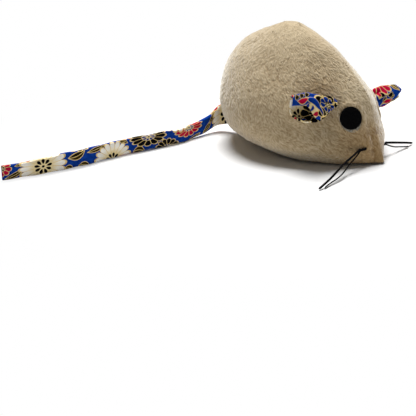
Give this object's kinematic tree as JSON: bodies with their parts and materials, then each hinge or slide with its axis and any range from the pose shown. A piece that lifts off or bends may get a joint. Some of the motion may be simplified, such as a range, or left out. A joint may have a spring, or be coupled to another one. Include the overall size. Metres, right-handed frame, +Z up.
{
  "type": "catnip mouse toy",
  "caption": "Stuffed plush mouse cat toy with a flat base, folded cotton ears, a cotton strip tail, disc eyes and thread whiskers.",
  "frame": {"origin": "on the flat underside of the base panel, below the widest part of the body", "axes": "+X to the nose, +Y to the mouse's left, +Z up from the floor"},
  "size_m": [0.1218, 0.1597, 0.058],
  "materials": {
    "plush": "short beige pile",
    "printed_cotton": "printed woven cotton",
    "sewing_thread": "spun thread",
    "black_thread": "waxed thread",
    "fibre_fill": "loose fibre",
    "dried_leaf": "loose dried leaf",
    "eye_disc": "matt",
    "clear_glue": "clear"
  },
  "bodies": {
    "body": {"right_side_panel": "plush", "left_side_panel": "plush", "base_panel": "plush", "back_seam_thread": "sewing_thread", "base_seam_thread": "sewing_thread", "fibre_stuffing": "fibre_fill", "catnip_filling": "dried_leaf", "right_ear_stitch": "sewing_thread", "left_ear_stitch": "sewing_thread", "right_eye": "eye_disc", "left_eye": "eye_disc", "right_eye_glue": "clear_glue", "left_eye_glue": "clear_glue", "right_whisker_knot": "black_thread", "left_whisker_knot": "black_thread", "whisker_core_thread": "black_thread", "tail_tuck": "printed_cotton", "tail_stitch": "sewing_thread"},
    "right_ear": {"right_ear": "printed_cotton"},
    "left_ear": {"left_ear": "printed_cotton"},
    "right_whiskers": {"right_whisker_upper": "black_thread", "right_whisker_lower": "black_thread"},
    "left_whiskers": {"left_whisker_upper": "black_thread", "left_whisker_lower": "black_thread"},
    "tail_root": {"tail_root": "printed_cotton"},
    "tail_strip": {"tail_strip": "printed_cotton"}
  },
  "joints": [
    {"name": "right_ear_flop", "type": "hinge", "parent": "body", "child": "right_ear", "pos_m": [0.02894, -0.01448, 0.02574], "axis": [-0.283, 0.271, 0.92], "range_deg": [0, 50]},
    {"name": "left_ear_flop", "type": "hinge", "parent": "body", "child": "left_ear", "pos_m": [0.02221, 0.02304, 0.02018], "axis": [0.5031, -0.014, -0.8641], "range_deg": [-35, 35]},
    {"name": "right_whisker_sweep", "type": "hinge", "parent": "body", "child": "right_whiskers", "pos_m": [0.03866, -0.01079, 0.00805], "axis": [0, 0, 1], "range_deg": [-20, 25]},
    {"name": "left_whisker_sweep", "type": "hinge", "parent": "body", "child": "left_whiskers", "pos_m": [0.03789, 0.01159, 0.00578], "axis": [0, 0, -1], "range_deg": [-20, 25]},
    {"name": "tail_swing", "type": "hinge", "parent": "body", "child": "tail_root", "pos_m": [-0.04714, 0, 0.0092], "axis": [0, 0, -1], "range_deg": [-8, 130]},
    {"name": "tail_lift", "type": "hinge", "parent": "tail_root", "child": "tail_strip", "pos_m": [-0.05021, -0.01355, 0.00452], "axis": [-0.9998, 0.022, 0], "range_deg": [0, 60]}
  ]
}
